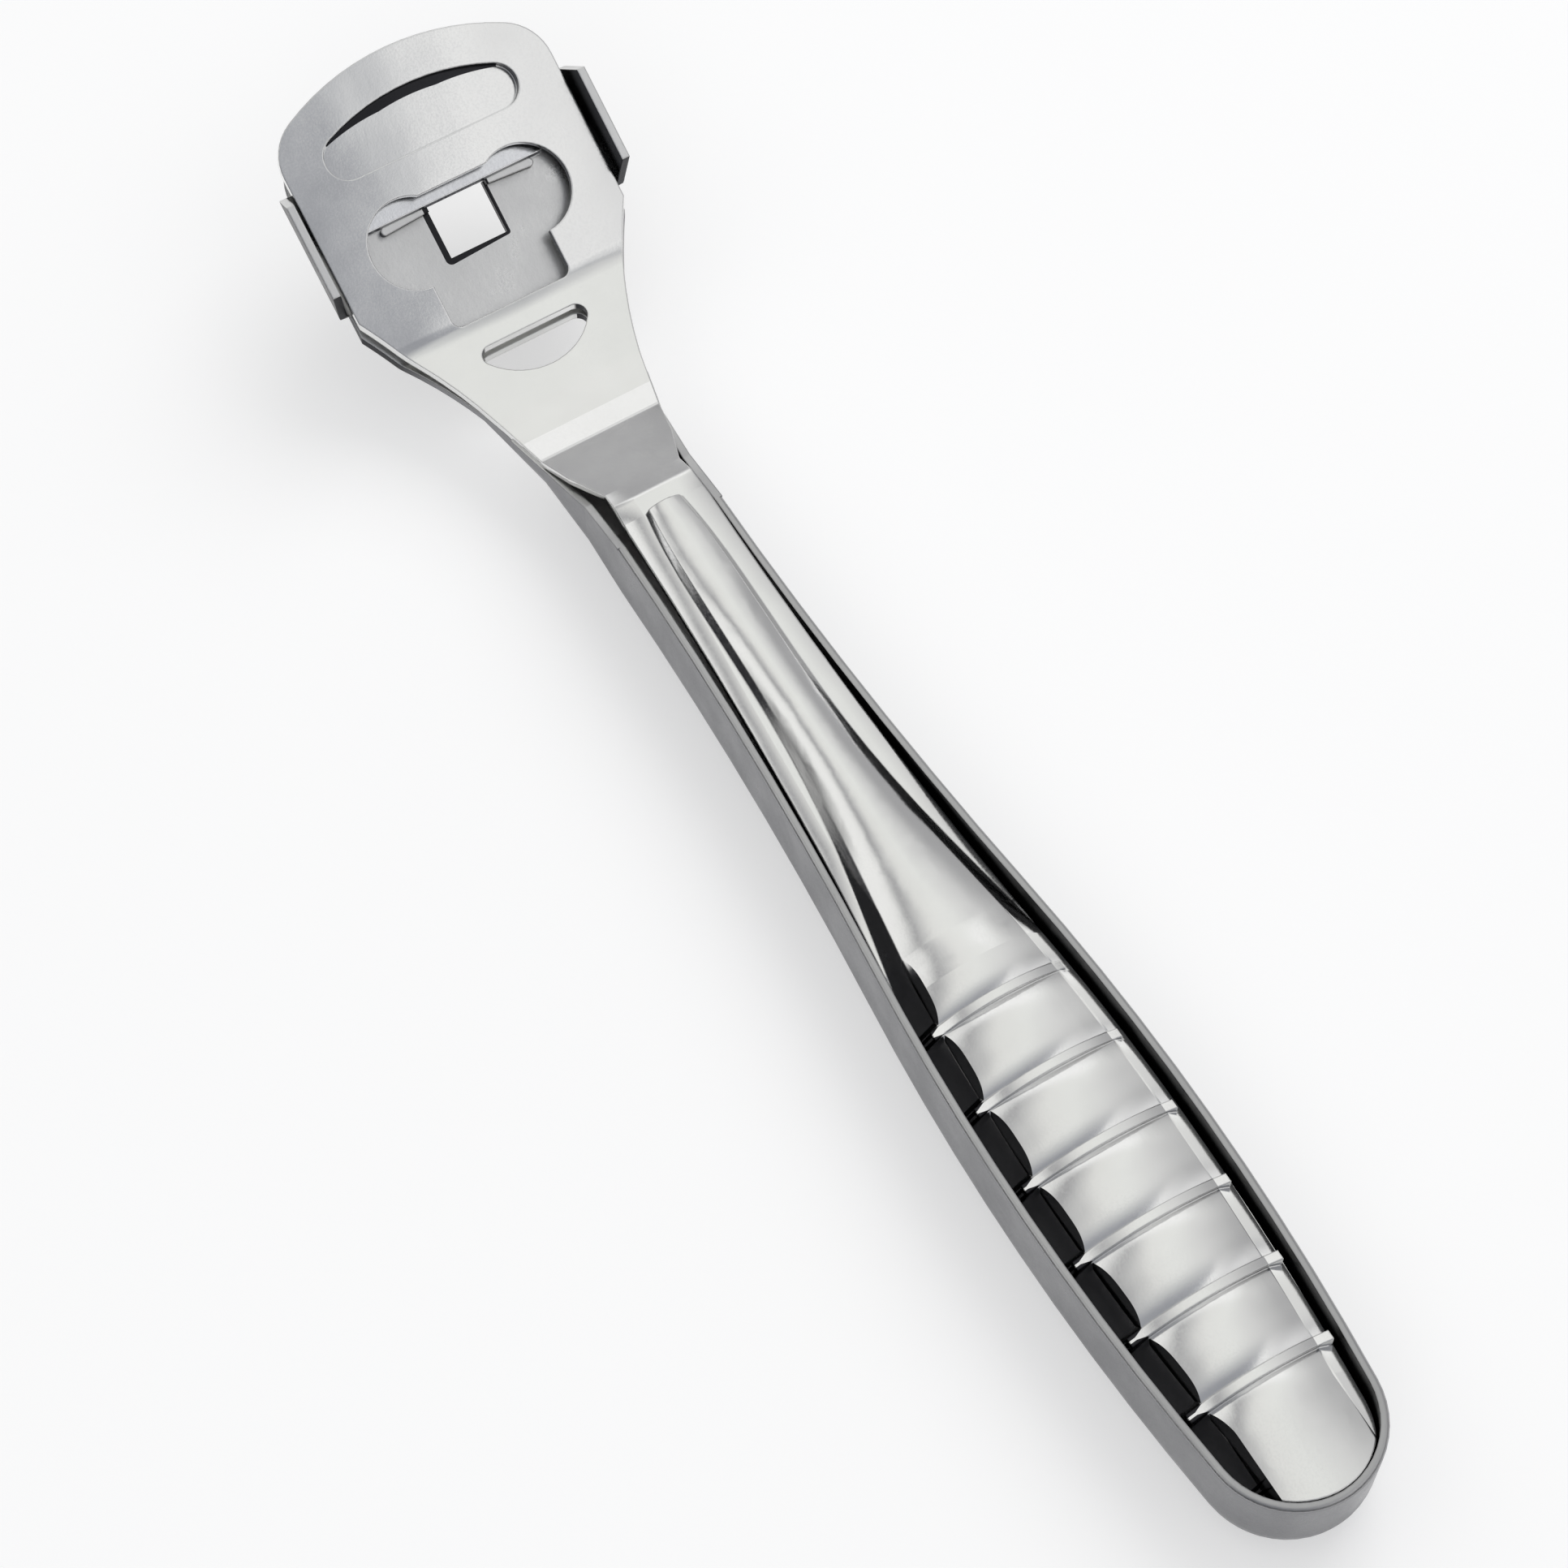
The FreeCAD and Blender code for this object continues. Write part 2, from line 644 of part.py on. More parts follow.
def raise_crown(body):
    """The crown starts narrow behind the ramp and widens into the dome under the ribs."""
    outer = []
    inner = []
    for index, (x, foot, foot_z, side, lift, crest) in enumerate(crown_rows()):
        start = f"{x} + sheet" if index == 0 else x
        outer.append(crown_section(
            body, f"crown_outer_{index}", x, foot, foot_z, f"{foot} - {side}",
            f"{foot_z} + {lift}", crest, f"{foot_z} - sheet * 0.6"))
        inner.append((
            f"crown_inner_{index}", start, f"{foot} - sheet * 0.75", f"{foot_z} - sheet",
            f"{foot} - {side} - sheet * 0.4", f"{foot_z} + {lift} - sheet", f"{crest} - sheet",
            f"{foot_z} - sheet * 3"))
    add_loft(body, "crown_solid", outer)
    add_loft(body, "crown_hollow", [crown_section(body, *row) for row in inner], "Subtractive")


def trim_cover(body):
    """Cut the cover to the inner outline of the shell less its clearance."""
    sketch = add_sketch(body, "cover_outline", "XY_Plane", (0, 0, "nose_s"))
    points, arcs = handle_outline("sheet + fit", "sheet + tail_fit")
    wide = "belly_half * 2"
    far = "tip_x + belly_half"
    points += [("neck_x", wide), (far, wide), (far, minus(wide)), ("neck_x", minus(wide))]
    draw(sketch, points, arcs)
    add_pocket(body, "cover_trim", sketch)


def rib_place(index):
    """Middle of a rib, counted back from the last one near the tip."""
    return f"(tip_x - tail_run - {RIBS - 1 - index} * rib_pitch)"


def add_rib(body, index):
    """A narrow bar over the dome with ends that stand out beyond its slopes."""
    number_name = index + 1
    middle = rib_place(index)
    x = f"({middle} - rib_width / 2)"
    half = f"({cover_half(middle)} - rib_margin + rib_margin_fade * {index} * rib_pitch)"
    sketch = add_sketch(body, f"rib_{number_name}_profile", "YZ_Plane", (0, 0, x))
    crest = "(dome_crest_z + rib_rise)"
    rise = f"({crest} - rib_end_z)"
    low = "(flange_end_z - sheet / 2)"
    low_rise = f"({crest} - sheet - {low})"
    left = minus(half)
    points = [(left, low), (half, low), (half, "rib_end_z"), (left, "rib_end_z")]
    over = f"({half}^2 + {rise}^2) / (2 * {rise})"
    under = f"({half}^2 + {low_rise}^2) / (2 * {low_rise})"
    draw(sketch, points, {0: (under, -1), 2: (over, 1)})
    add_pad(body, f"rib_{number_name}", sketch, "rib_width")


# Blade

def build_blade():
    body = doc.addObject("PartDesign::Body", "blade")
    sketch = head_sketch(body, "blade_outline", "sole_drop")
    front = "-(throat_rear + blade_set + blade_width)"
    rear = "-(throat_rear + blade_set)"
    half = "head_half - blade_inset"
    draw(sketch, [(front, minus(half)), (rear, minus(half)), (rear, half), (front, half)])
    add_pad(body, "blade_strip", sketch, "blade_thick")
    return body


# Finish

parts = [build_lower_arm(), build_upper_arm(), build_blade()]

for item in doc.Objects:
    if "Invalid" in item.State or "Error" in item.State:
        raise ValueError(f"{item.Name} did not compute")

os.makedirs("parts", exist_ok=True)
for body in parts:
    shape = body.Shape
    if shape.isNull() or not shape.isValid() or len(shape.Solids) != 1:
        raise ValueError(f"{body.Label} is not one sound solid")
    print(body.Label, round(shape.Volume, 1), shape.BoundBox)
    shape.exportStep(f"parts/{body.Label}.step")
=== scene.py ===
import math

import bpy
from bpy.props import FloatProperty, FloatVectorProperty
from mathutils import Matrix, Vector


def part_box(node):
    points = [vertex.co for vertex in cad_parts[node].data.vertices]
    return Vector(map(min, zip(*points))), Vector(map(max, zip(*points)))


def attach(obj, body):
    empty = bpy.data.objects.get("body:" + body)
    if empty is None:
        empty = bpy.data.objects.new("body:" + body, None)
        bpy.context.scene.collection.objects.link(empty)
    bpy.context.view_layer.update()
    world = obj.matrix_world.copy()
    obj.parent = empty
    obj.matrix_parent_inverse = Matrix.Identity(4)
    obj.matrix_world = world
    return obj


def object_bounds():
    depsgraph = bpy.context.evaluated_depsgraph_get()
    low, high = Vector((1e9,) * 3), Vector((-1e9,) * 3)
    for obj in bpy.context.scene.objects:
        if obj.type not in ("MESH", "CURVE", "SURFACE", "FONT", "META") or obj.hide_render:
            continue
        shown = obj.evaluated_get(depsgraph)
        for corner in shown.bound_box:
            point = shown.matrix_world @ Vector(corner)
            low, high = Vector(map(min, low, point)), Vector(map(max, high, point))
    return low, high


bl_info = {
    "name": "Callus Shaver",
    "version": (1, 0, 0),
    "blender": (4, 5, 0),
    "location": "View3D > Sidebar > Callus Shaver",
    "description": "Finishes a callus shaver of two steel stampings and sets its studio",
    "category": "Object",
}

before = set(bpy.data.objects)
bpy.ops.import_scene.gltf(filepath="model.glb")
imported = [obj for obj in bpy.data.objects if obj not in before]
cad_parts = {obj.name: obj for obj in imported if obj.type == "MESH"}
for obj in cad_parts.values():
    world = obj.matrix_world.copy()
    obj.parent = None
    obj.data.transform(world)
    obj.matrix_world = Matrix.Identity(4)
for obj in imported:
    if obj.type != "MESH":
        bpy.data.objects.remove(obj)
size_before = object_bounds()

# The head, in metres along the handle and across it

HEAD_PITCH = math.radians(29)
HEAD_END = -0.058
HEAD_FADE = 0.014
HEAD_DOME = 1.8
# PAD_CENTRE to PAD_ARC place the painted shade along the pad's front wall, and PAD_LEAN is how far
# that shade reaches in from the wall.
PAD_CENTRE = -0.05764
PAD_RADIUS = 0.023
PAD_LEAN = 0.001
PAD_FLOOR = -0.0198
PAD_ARC = 0.0092
NOTCH_REAR = -0.06383
NOTCH_FRONT = -0.0684
NOTCH_HALF = 0.00305
# Widths of the painted shade band round the square notch, at its near and far side.
BORDER_NEAR = 0.00062
BORDER_FAR = 0.0003
# EAR_FADE fades the near-black painted shade over the walls at the head's front, where the ears
# stand.
EAR_FADE = 0.004
NECK_BEND = -0.041
BEND_BAND = 0.0025
BEND_SLOPE = 0.1
NECK_FADE = 0.01
# Share of the grey painted wall shade on the level faces of the handle shell.
HANDLE_SHADE = 0.55

# The blade

BLADE_THICK = 0.00025
EDGE_SET = 0.00026
EDGE_SHARE = 0.727
EDGE_THICK_SHARE = 0.4

# The cover

CROWN_START = -0.029
CROWN_HALF = 0.0021
CROWN_LATE = 0.008
CROWN_LATE_HALF = 0.0044
CROWN_FADE = 0.004
FLANGE_FADE = 0.012
FLANGE_CURVE = 75.0
FLANGE_SLOPE = 0.16
FIRST_RIB = 0.028
RIB_PITCH = 0.008
LAST_RIB = 0.068
RIB_SHARE = 0.86
# RIB_HALF to RIB_SLACK size the painted shade that draws the near rib ends to points; the ribs in
# the solid end square.
RIB_HALF = 0.00045
RIB_TIP_HALF = 0.00012
RIB_POINT = 0.0009
RIB_LEAD = 0.001
RIB_SLACK = 0.00002
BELLY = 0.046
BELLY_RADIUS = 0.245
BELLY_RUN = 0.003
COVER_HALF = 0.00825
FLANK = 0.0018
FLANK_SLOPE = 0.9
ROLL_SLOPE = 1.15
FIELD_BITE = 0.0006
EDGE_LAP = 0.00025
LAP_GAIN = 3.0
WAVE_SCALE = 90.0
WAVE_HEIGHT = 0.0002

# Surface detail: scales per metre, heights in metres and shares

NOISE_ROUGH = 0.55
GRAIN_STRETCH = 0.08
CLOUD_SCALE = 160.0
SPECK_SCALE = 5200.0
SPECK_SHARE = 0.6
GRAIN_HEIGHT = 0.00003
WORN_TINT = 0.94
BEVEL_SAMPLES = 6
COVER_GRAIN, COVER_RELIEF = 900.0, 0.12
SHELL_GRAIN, SHELL_RELIEF = 1600.0, 0.35
BLADE_GRAIN, BLADE_RELIEF = 2400.0, 0.2
BLADE_ROUGH = 0.2
BLADE_ROUNDING = 0.25
# Near-black painted shade for the pad's front wall, the head's inward walls and the corners beside
# the rib ends.
PAINTED_SHADE_DARK = (0.03, 0.03, 0.033)

# Floor and sky; a stop is a place from 0 to 1 and its colour

FLOOR_REACH = 3.0
FLOOR_GAP = 0.0002
FLOOR_GLOW = 0.465
BAND_EAST = 0.53
BAND_NORTH = 0.85
BRIGHT = (1.05, 1.05, 1.05)
LOW_SKY = (
    (0.0, (0.015, 0.015, 0.018)),
    (0.3, (0.05, 0.05, 0.055)),
    (1.0, (0.42, 0.42, 0.43)),
)
WEST_SKY = (
    (0.0, (0.97, 0.97, 0.96)),
    (0.08, (0.9, 0.9, 0.89)),
    (0.17, (0.36, 0.36, 0.37)),
    (0.26, (0.62, 0.62, 0.62)),
    (0.36, (0.86, 0.86, 0.84)),
    (0.55, (0.9, 0.91, 0.89)),
    (0.75, (0.74, 0.74, 0.74)),
    (1.0, (0.4, 0.4, 0.41)),
)
GLOW = (
    (0.0, (0.0, 0.0, 0.0)),
    (0.15, (1.0, 1.0, 1.0)),
    (0.5, (1.0, 1.0, 1.0)),
    (0.65, (0.0, 0.0, 0.0)),
)
EAST_SKY = (
    (0.0, (0.34, 0.35, 0.38)),
    (0.35, (0.44, 0.45, 0.48)),
    (0.5, (1.0, 1.0, 1.0)),
    (0.62, (1.0, 1.0, 1.0)),
    (1.0, (0.8, 0.8, 0.81)),
)


# Node helpers

def new_material(name):
    """A node material with one shader and its output."""
    material = bpy.data.materials.new(name)
    material.use_nodes = True
    tree = material.node_tree
    tree.nodes.clear()
    output = tree.nodes.new("ShaderNodeOutputMaterial")
    shader = tree.nodes.new("ShaderNodeBsdfPrincipled")
    tree.links.new(shader.outputs["BSDF"], output.inputs["Surface"])
    return material, tree, shader


def combine(tree, operation, *values):
    """One step of arithmetic with numbers or outputs of other nodes."""
    node = tree.nodes.new("ShaderNodeMath")
    node.operation = operation
    for socket, value in zip(node.inputs, values):
        if isinstance(value, (int, float)):
            socket.default_value = value
        else:
            tree.links.new(value, socket)
    return node.outputs["Value"]


def total(tree, first, *others):
    for value in others:
        first = combine(tree, "ADD", first, value)
    return first


def product(tree, first, *others):
    for value in others:
        first = combine(tree, "MULTIPLY", first, value)
    return first


def minus(tree, first, second):
    return combine(tree, "SUBTRACT", first, second)


def less(tree, first, second):
    return combine(tree, "LESS_THAN", first, second)


def more(tree, first, second):
    return combine(tree, "GREATER_THAN", first, second)


def absolute(tree, value):
    return combine(tree, "ABSOLUTE", value)


def distance(tree, first, second):
    squares = total(tree, product(tree, first, first), product(tree, second, second))
    return combine(tree, "SQRT", squares)


def rise(tree, value, start, width):
    """How far the value has gone past the start, up to the width."""
    past = combine(tree, "MAXIMUM", minus(tree, value, start), 0.0)
    return combine(tree, "MINIMUM", past, width)


def spread(tree, value, low, high, low_out, high_out):
    """Map a value from one range to another and hold it there."""
    node = tree.nodes.new("ShaderNodeMapRange")
    node.inputs["From Min"].default_value = low
    node.inputs["From Max"].default_value = high
    node.inputs["To Min"].default_value = low_out
    node.inputs["To Max"].default_value = high_out
    tree.links.new(value, node.inputs["Value"])
    return node.outputs["Result"]


def ramp(tree, value, stops):
    """The colours of the stops along a value from 0 to 1."""
    node = tree.nodes.new("ShaderNodeValToRGB")
    elements = node.color_ramp.elements
    while len(elements) < len(stops):
        elements.new(0.5)
    for element, (place, colour) in zip(elements, stops):
        element.position = place
        element.color = (*colour, 1.0)
    tree.links.new(value, node.inputs["Fac"])
    return node.outputs["Color"]


def blend(tree, share, first, second):
    """The first colour at share 0, the second at share 1."""
    node = tree.nodes.new("ShaderNodeMix")
    node.data_type = "RGBA"
    tree.links.new(share, node.inputs["Factor"])
    for socket, colour in zip(node.inputs[6:8], (first, second)):
        if isinstance(colour, tuple):
            socket.default_value = (*colour, 1.0)
        else:
            tree.links.new(colour, socket)
    return node.outputs[2]


def split_vector(tree, kind):
    """The three parts of a coordinate or normal."""
    source = tree.nodes.new("ShaderNodeTexCoord")
    split = tree.nodes.new("ShaderNodeSeparateXYZ")
    tree.links.new(source.outputs[kind], split.inputs["Vector"])
    return [split.outputs[name] for name in "XYZ"]


def noise(tree, stretch, scale, detail):
    """Noise over the object, stretched along the handle."""
    source = tree.nodes.new("ShaderNodeTexCoord")
    mapping = tree.nodes.new("ShaderNodeMapping")
    mapping.inputs["Scale"].default_value = (stretch, 1.0, 1.0)
    tree.links.new(source.outputs["Object"], mapping.inputs["Vector"])
    node = tree.nodes.new("ShaderNodeTexNoise")
    node.inputs["Scale"].default_value = scale
    node.inputs["Detail"].default_value = detail
    node.inputs["Roughness"].default_value = NOISE_ROUGH
    tree.links.new(mapping.outputs["Vector"], node.inputs["Vector"])
    return node.outputs["Fac"]


def bump(tree, height, normal, strength, reach):
    node = tree.nodes.new("ShaderNodeBump")
    node.inputs["Strength"].default_value = strength
    node.inputs["Distance"].default_value = reach
    tree.links.new(height, node.inputs["Height"])
    tree.links.new(normal, node.inputs["Normal"])
    return node.outputs["Normal"]


def rounded(tree, radius):
    """Normals that are rounded over sharp edges."""
    bevel = tree.nodes.new("ShaderNodeBevel")
    bevel.samples = BEVEL_SAMPLES
    bevel.inputs["Radius"].default_value = radius
    return bevel.outputs["Normal"]


# Painted shade on the two stampings, and the rib spacing that the relief also uses

def facing_middle(tree, across, side):
    """Below zero on walls that face the middle of the part, above zero on outer walls."""
    return product(tree, combine(tree, "SIGN", across), side)


def notch_painted_shade(tree, along, across):
    """Share of painted shade in a band round the square notch, widest at its near side; it stands
    in for the shade of a rolled border that the solid lacks.
    """
    behind = combine(tree, "MAXIMUM", minus(tree, along, NOTCH_REAR), 0.0)
    behind = combine(tree, "DIVIDE", behind, math.cos(HEAD_PITCH))
    beside = combine(tree, "MAXIMUM", minus(tree, absolute(tree, across), NOTCH_HALF), 0.0)
    width = spread(tree, across, -NOTCH_HALF, NOTCH_HALF, BORDER_NEAR, BORDER_FAR)
    border = less(tree, distance(tree, behind, beside), width)
    return product(tree, border, more(tree, along, NOTCH_FRONT))


def shell_painted_shade(tree, level, wall, inside):
    """Painted shade by facing: level faces keep the light colour, outer walls get a grey painted
    shade, and walls that face the middle, and all walls ahead of the head's end where the ears
    stand, get a near-black painted shade; head walls that face along the handle keep the level
    colour, the handle's level faces take part of the grey shade, and a near-black painted band runs
    round the square notch.
    """
    along, across, _ = split_vector(tree, "Object")
    _, side, up = split_vector(tree, "Normal")
    inward = facing_middle(tree, across, side)
    walls = blend(tree, spread(tree, inward, -0.5, -0.2, 0.0, 1.0), inside, wall)
    walls = blend(tree, spread(tree, along, HEAD_END, HEAD_END + EAR_FADE, 0.0, 1.0), inside, walls)
    slot = product(tree, more(tree, along, HEAD_END), less(tree, along, NECK_BEND),
                   less(tree, absolute(tree, side), 0.5))
    walls = blend(tree, slot, walls, level)
    handle = spread(tree, along, NECK_BEND, NECK_BEND + NECK_FADE, 0.0, HANDLE_SHADE)
    level = blend(tree, handle, level, wall)
    level = blend(tree, notch_painted_shade(tree, along, across), level, inside)
    return blend(tree, spread(tree, up, 0.2, 0.8, 0.0, 1.0), walls, level)


def rib_turn(tree, along):
    """Zero halfway between two ribs and half at each rib."""
    steps = combine(tree, "DIVIDE", minus(tree, along, FIRST_RIB), RIB_PITCH)
    return absolute(tree, minus(tree, combine(tree, "FRACT", steps), 0.5))


def belly_fall(tree, along):
    """How far the cover's edge has drawn in from its widest place."""
    away = minus(tree, along, BELLY)
    return combine(tree, "DIVIDE", product(tree, away, away), 2 * BELLY_RADIUS)


def rib_corner_painted_shade(tree):
    """Share of painted shade in the corners beside the near rib ends, which draws the square ends
    to points.
    """
    along, across, _ = split_vector(tree, "Object")
    aside = product(tree, minus(tree, 0.5, rib_turn(tree, along)), RIB_PITCH)
    reach = minus(tree, belly_fall(tree, along), across)
    start = COVER_HALF - FLANK
    limit = spread(tree, reach, start, start + RIB_POINT, RIB_HALF, RIB_TIP_HALF)
    corner = product(tree, more(tree, aside, limit), less(tree, aside, RIB_HALF + RIB_SLACK))
    return product(tree, corner, more(tree, reach, start), more(tree, along, FIRST_RIB - RIB_LEAD))


def pad_wall_painted_shade(tree):
    """Share of painted shade along the front wall of the oval pad, which thins out to both ends;
    the wall in the solid stands upright, and the painted shade draws it leaning.
    """
    along, across, level = split_vector(tree, "Object")
    lengthways = combine(tree, "DIVIDE", minus(tree, PAD_CENTRE, along), math.cos(HEAD_PITCH))
    side = absolute(tree, across)
    width = spread(tree, side, PAD_ARC / 3, PAD_ARC, PAD_LEAN, PAD_LEAN / 5)
    wall = more(tree, total(tree, distance(tree, lengthways, across), width), PAD_RADIUS)
    depth = total(tree, product(tree, along, math.sin(HEAD_PITCH)),
                  product(tree, level, math.cos(HEAD_PITCH)))
    return product(tree, wall, less(tree, side, PAD_ARC), less(tree, along, HEAD_END),
                   less(tree, depth, PAD_FLOOR))


def window_wall_painted_shade(tree):
    """Share of painted shade on the walls of the window and the slot that face the middle of the
    head.
    """
    along, across, _ = split_vector(tree, "Object")
    _, side, up = split_vector(tree, "Normal")
    inward = spread(tree, facing_middle(tree, across, side), -0.5, -0.3, 1.0, 0.0)
    upright = spread(tree, up, 0.5, 0.8, 1.0, 0.0)
    return product(tree, inward, upright, less(tree, along, NECK_BEND))


# Painted shade: the pad's front wall, the inward walls of the head's window and slot, and the
# corners beside the near rib ends are blended to near black.
def cover_painted_shade(tree, colour):
    dark = combine(tree, "MAXIMUM", pad_wall_painted_shade(tree), window_wall_painted_shade(tree))
    return blend(tree, combine(tree, "MAXIMUM", dark, rib_corner_painted_shade(tree)), colour, PAINTED_SHADE_DARK)


# Relief of the upper stamping

def rib_fields(tree, along, across, swell):
    """Fields between the ribs bulge, are bitten in at the near flank and roll up at the far one."""
    turn = rib_turn(tree, combine(tree, "MINIMUM", along, LAST_RIB + RIB_PITCH / 2))
    place = combine(tree, "MINIMUM", product(tree, turn, 2.0 / RIB_SHARE), 1.0)
    share = minus(tree, 1.0, combine(tree, "POWER", place, 3.0))
    fall = belly_fall(tree, combine(tree, "MINIMUM", along, LAST_RIB + BELLY_RUN))
    reach = total(tree, absolute(tree, across), fall)
    start = COVER_HALF - FLANK
    near = less(tree, across, 0.0)
    bite = product(tree, share, FIELD_BITE)
    lap = product(tree, combine(tree, "MINIMUM", product(tree, share, LAP_GAIN), 1.0), EDGE_LAP)
    worn = rise(tree, total(tree, reach, bite), start, total(tree, bite, lap))
    worn = product(tree, worn, near, FLANK_SLOPE)
    rolled = product(tree, rise(tree, reach, start, FLANK), ROLL_SLOPE, minus(tree, 1.0, near))
    height = total(tree, minus(tree, product(tree, share, swell), worn), rolled)
    inside = spread(tree, along, FIRST_RIB - RIB_PITCH, FIRST_RIB - RIB_PITCH / 2, 0.0, 1.0)
    return product(tree, height, inside)


def soft_flanges(tree, along, across):
    """Both flanges beside the crown fall away outwards, more and more."""
    crown = spread(tree, along, CROWN_START, CROWN_LATE, CROWN_HALF, CROWN_LATE_HALF)
    outward = combine(tree, "MAXIMUM", minus(tree, absolute(tree, across), crown), 0.0)
    near = less(tree, across, 0.0)
    slope = total(tree, product(tree, outward, FLANGE_CURVE), product(tree, near, FLANGE_SLOPE))
    start = spread(tree, along, CROWN_START - CROWN_FADE, CROWN_START, 0.0, 1.0)
    end = spread(tree, along, CROWN_LATE, CROWN_LATE + FLANGE_FADE, 1.0, 0.0)
    return product(tree, outward, slope, -1.0, start, end)


def head_dome(tree, along, across):
    """The head plate is a little domed across."""
    front = spread(tree, along, HEAD_END, HEAD_END + HEAD_FADE, 1.0, 0.0)
    return product(tree, across, across, -HEAD_DOME, front)


def pressed_relief(tree, normal, swell):
    """All soft shapes that the press leaves in the upper sheet, as one relief in metres."""
    along, across, _ = split_vector(tree, "Object")
    bend = product(tree, rise(tree, along, NECK_BEND - BEND_BAND, BEND_BAND), BEND_SLOPE)
    waves = product(tree, noise(tree, 1.0, WAVE_SCALE, 1.0), WAVE_HEIGHT)
    height = total(tree, rib_fields(tree, along, across, swell), soft_flanges(tree, along, across),
                   head_dome(tree, along, across), bend, waves)
    return bump(tree, height, normal, 1.0, 1.0)


# Steel

def steel(name, tint, rough, grain, relief, radius, walls=None, swell=0.0):
    """Rolled stainless steel: fine lengthwise grain, handling marks and rounded edges; wall colours
    add painted shade by facing, and a swell adds the cover's painted shade.
    """
    material, tree, shader = new_material(name)
    shader.inputs["Metallic"].default_value = 1.0
    lines = noise(tree, GRAIN_STRETCH, grain, 4.0)
    cloud = noise(tree, 1.0, CLOUD_SCALE, 3.0)
    specks = noise(tree, 1.0, SPECK_SCALE, 2.0)
    low = tuple(part * WORN_TINT for part in tint)
    colour = ramp(tree, spread(tree, cloud, 0.3, 0.7, 0.0, 1.0), ((0.0, low), (1.0, tint)))
    # Wall colours paint shade onto the shell by the way its faces point.
    if walls:
        colour = shell_painted_shade(tree, colour, *walls)
    # The swell also switches on the cover's painted shade.
    if swell:
        colour = cover_painted_shade(tree, colour)
    tree.links.new(colour, shader.inputs["Base Color"])
    spots = spread(tree, specks, 0.45, 0.62, -0.02, 0.03)
    wide = spread(tree, cloud, 0.35, 0.65, rough * 0.85, rough * 1.2)
    tree.links.new(total(tree, wide, spots), shader.inputs["Roughness"])
    height = total(tree, lines, product(tree, specks, SPECK_SHARE))
    normal = bump(tree, height, rounded(tree, radius), relief, GRAIN_HEIGHT)
    if swell:
        normal = pressed_relief(tree, normal, swell)
    tree.links.new(normal, shader.inputs["Normal"])
    return material


def dress(node_name, material):
    """Give a node of the frame this material in every slot."""
    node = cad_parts[node_name]
    if not node.material_slots:
        raise RuntimeError(f"{node_name} has no material slot")
    for place in node.material_slots:
        place.material = material


def add_object(name, data):
    item = bpy.data.objects.new(name, data)
    bpy.context.scene.collection.objects.link(item)
    return item


def add_cutting_edge(material):
    """The ground bevel that carries the blade over the opening in the sole."""
    low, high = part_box("blade")
    pitch = math.atan2(high[2] - low[2], high[0] - low[0])
    half = (high[1] - low[1]) / 2 * EDGE_SHARE
    start = Vector((high[0], 0.0, low[2] + BLADE_THICK * 0.5))
    back = Vector((math.cos(pitch), 0.0, -math.sin(pitch))) * EDGE_SET
    up = Vector((math.sin(pitch), 0.0, math.cos(pitch))) * BLADE_THICK * EDGE_THICK_SHARE
    rows = [start - up, start + back, start + up]
    points = [row + Vector((0.0, side * half, 0.0)) for side in (-1, 1) for row in rows]
    mesh = bpy.data.meshes.new("cutting_edge")
    mesh.from_pydata([tuple(point) for point in points], [],
                     [(0, 1, 2), (5, 4, 3), (0, 3, 4, 1), (1, 4, 5, 2), (2, 5, 3, 0)])
    mesh.materials.append(material)
    edge = add_object("cutting_edge", mesh)
    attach(edge, "root")


# Stage helpers

def soft_light(name, place, side, power):
    """A square light that shines at the middle and isn't mirrored in the steel."""
    data = bpy.data.lights.new(name, "AREA")
    data.shape = "RECTANGLE"
    data.size = side
    data.size_y = side
    data.energy = power
    item = add_object(name, data)
    item.location = place
    item.rotation_euler = (-item.location).to_track_quat("-Z", "Y").to_euler()
    item.visible_glossy = False


def add_floor(grey):
    """A plain floor that keeps the shadow and shows white to the camera and the steel."""
    low = size_before[0][2] - FLOOR_GAP
    corners = [(east * FLOOR_REACH, north * FLOOR_REACH, low)
               for east, north in ((-1, -1), (1, -1), (1, 1), (-1, 1))]
    mesh = bpy.data.meshes.new("floor")
    mesh.from_pydata(corners, [], [(0, 1, 2, 3)])
    material, tree, shader = new_material("floor_paper")
    shader.inputs["Base Color"].default_value = (grey, grey, grey, 1.0)
    shader.inputs["Roughness"].default_value = 0.9
    shader.inputs["Specular IOR Level"].default_value = 0.1
    rays = tree.nodes.new("ShaderNodeLightPath").outputs
    seen = combine(tree, "MAXIMUM", rays["Is Camera Ray"], rays["Is Glossy Ray"])
    seen = combine(tree, "MAXIMUM", seen, rays["Is Transmission Ray"])
    shader.inputs["Emission Color"].default_value = (1.0, 1.0, 1.0, 1.0)
    tree.links.new(product(tree, seen, FLOOR_GLOW), shader.inputs["Emission Strength"])
    mesh.materials.append(material)
    floor = add_object("floor", mesh)


